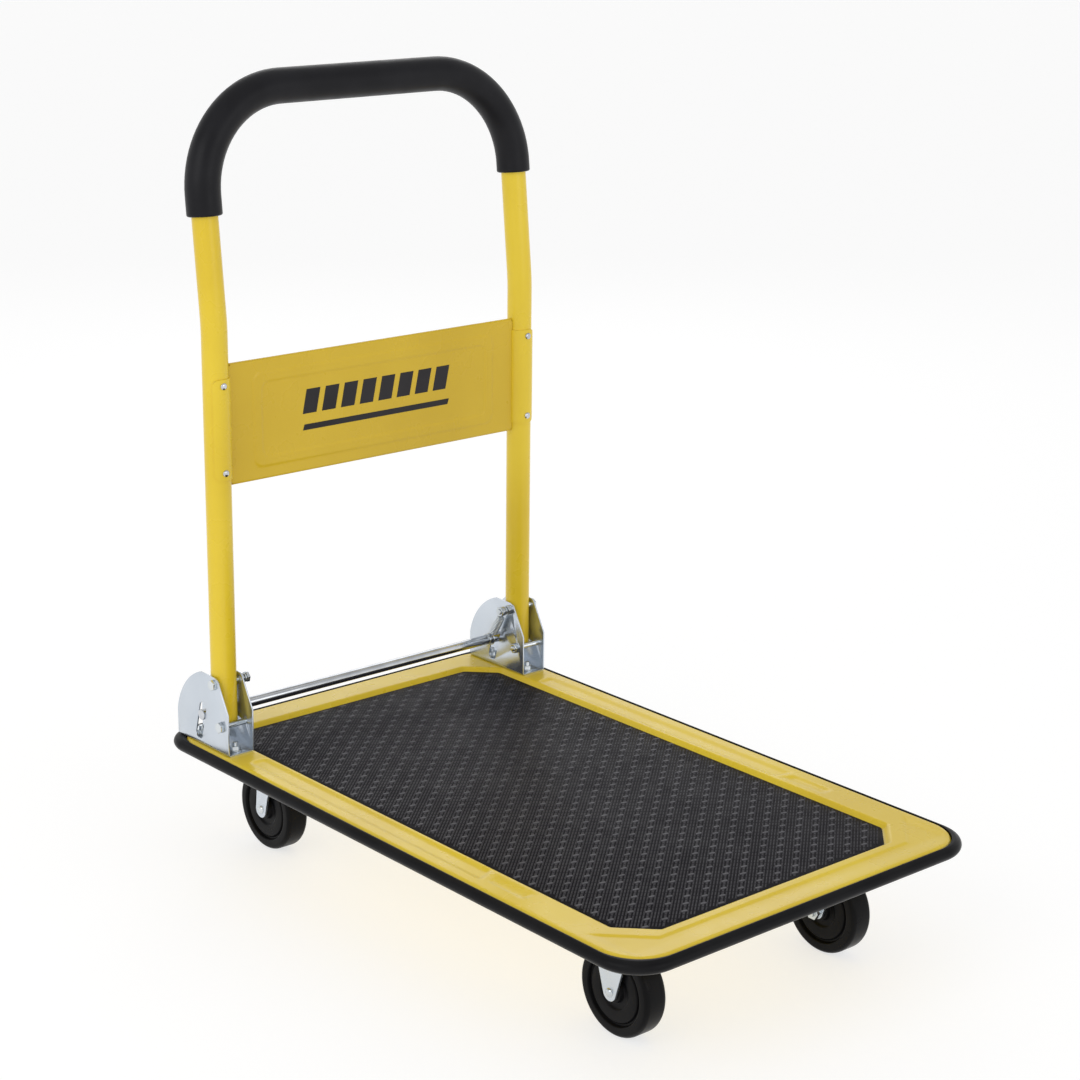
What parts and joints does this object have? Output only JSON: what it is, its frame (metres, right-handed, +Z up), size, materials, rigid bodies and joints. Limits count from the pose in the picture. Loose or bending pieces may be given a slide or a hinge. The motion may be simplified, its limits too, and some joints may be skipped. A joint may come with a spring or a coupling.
{
  "type": "folding platform cart",
  "caption": "Flat-bed hand cart with a pressed deck, anti-slip mat, edge bumper, fold-down tubular handle with back panel, and caster wheels.",
  "frame": {"origin": "on the floor, under the middle of the cart's overall length and width", "axes": "+X along the deck, away from the handle; +Y to the left when looking along +X; +Z up"},
  "size_m": [0.7212, 0.4452, 0.8018],
  "materials": {
    "yellow_paint": "smooth gloss powder coat",
    "mat_rubber": "woven tread, satin",
    "bumper_rubber": "smooth satin",
    "grip_foam": "matt dipped sleeve",
    "wheel_rubber": "moulded satin",
    "zinc": "blue-white zinc plate",
    "chrome": "bright plate"
  },
  "bodies": {
    "chassis": {"deck_pan": "yellow_paint", "cross_rails": "yellow_paint", "mat": "mat_rubber", "bumper": "bumper_rubber", "bracket_left": "zinc", "bracket_right": "zinc", "bracket_bolts": "zinc", "bracket_nuts": "zinc", "pivot_bolts": "zinc", "pivot_nuts": "zinc", "stop_bolts": "zinc", "stop_nuts": "zinc", "spring_left": "zinc", "spring_right": "zinc", "fork_front_left": "zinc", "fork_front_right": "zinc", "axles_front": "zinc", "axle_nuts_front": "zinc", "plate_rear_left": "zinc", "plate_rear_right": "zinc", "ball_rings": "chrome", "king_pins": "zinc", "caster_bolts": "zinc", "caster_nuts": "zinc"},
    "handle": {"handle_tube": "yellow_paint", "grip": "grip_foam", "back_panel": "yellow_paint", "panel_rivets": "chrome"},
    "lock": {"lock_rod": "chrome", "rod_rings": "zinc"},
    "swivel_left": {"fork_rear_left": "zinc", "axle_rear_left": "zinc", "axle_nut_rear_left": "zinc"},
    "swivel_right": {"fork_rear_right": "zinc", "axle_rear_right": "zinc", "axle_nut_rear_right": "zinc"},
    "wheel_front_left": {"wheel_front_left": "wheel_rubber", "bush_front_left": "zinc"},
    "wheel_front_right": {"wheel_front_right": "wheel_rubber", "bush_front_right": "zinc"},
    "wheel_rear_left": {"wheel_rear_left": "wheel_rubber", "bush_rear_left": "zinc"},
    "wheel_rear_right": {"wheel_rear_right": "wheel_rubber", "bush_rear_right": "zinc"}
  },
  "joints": [
    {"name": "handle_fold", "type": "hinge", "parent": "chassis", "child": "handle", "pos_m": [-0.2762, 0, 0.198], "axis": [0, 1, 0], "range_deg": [0, 97]},
    {"name": "lock_slide", "type": "slide", "parent": "chassis", "child": "lock", "axis": [-0.2504, 0, -0.9681], "range_m": [0, 0.0211], "deforming": ["spring_left", "spring_right"]},
    {"name": "swivel_left", "type": "hinge", "parent": "chassis", "child": "swivel_left", "pos_m": [-0.258, 0.133, 0.098], "axis": [0, 0, 1], "continuous": true},
    {"name": "swivel_right", "type": "hinge", "parent": "chassis", "child": "swivel_right", "pos_m": [-0.258, -0.133, 0.098], "axis": [0, 0, 1], "continuous": true},
    {"name": "roll_front_left", "type": "hinge", "parent": "chassis", "child": "wheel_front_left", "pos_m": [0.2525, 0.133, 0.044], "axis": [0, 1, 0], "continuous": true},
    {"name": "roll_front_right", "type": "hinge", "parent": "chassis", "child": "wheel_front_right", "pos_m": [0.2525, -0.133, 0.044], "axis": [0, 1, 0], "continuous": true},
    {"name": "roll_rear_left", "type": "hinge", "parent": "swivel_left", "child": "wheel_rear_left", "pos_m": [-0.286, 0.133, 0.044], "axis": [0, 1, 0], "continuous": true},
    {"name": "roll_rear_right", "type": "hinge", "parent": "swivel_right", "child": "wheel_rear_right", "pos_m": [-0.286, -0.133, 0.044], "axis": [0, 1, 0], "continuous": true}
  ],
  "couplings": [
    {"joint": "lock_slide", "follows": "handle_fold", "m_per_rad": 0.012404}
  ]
}
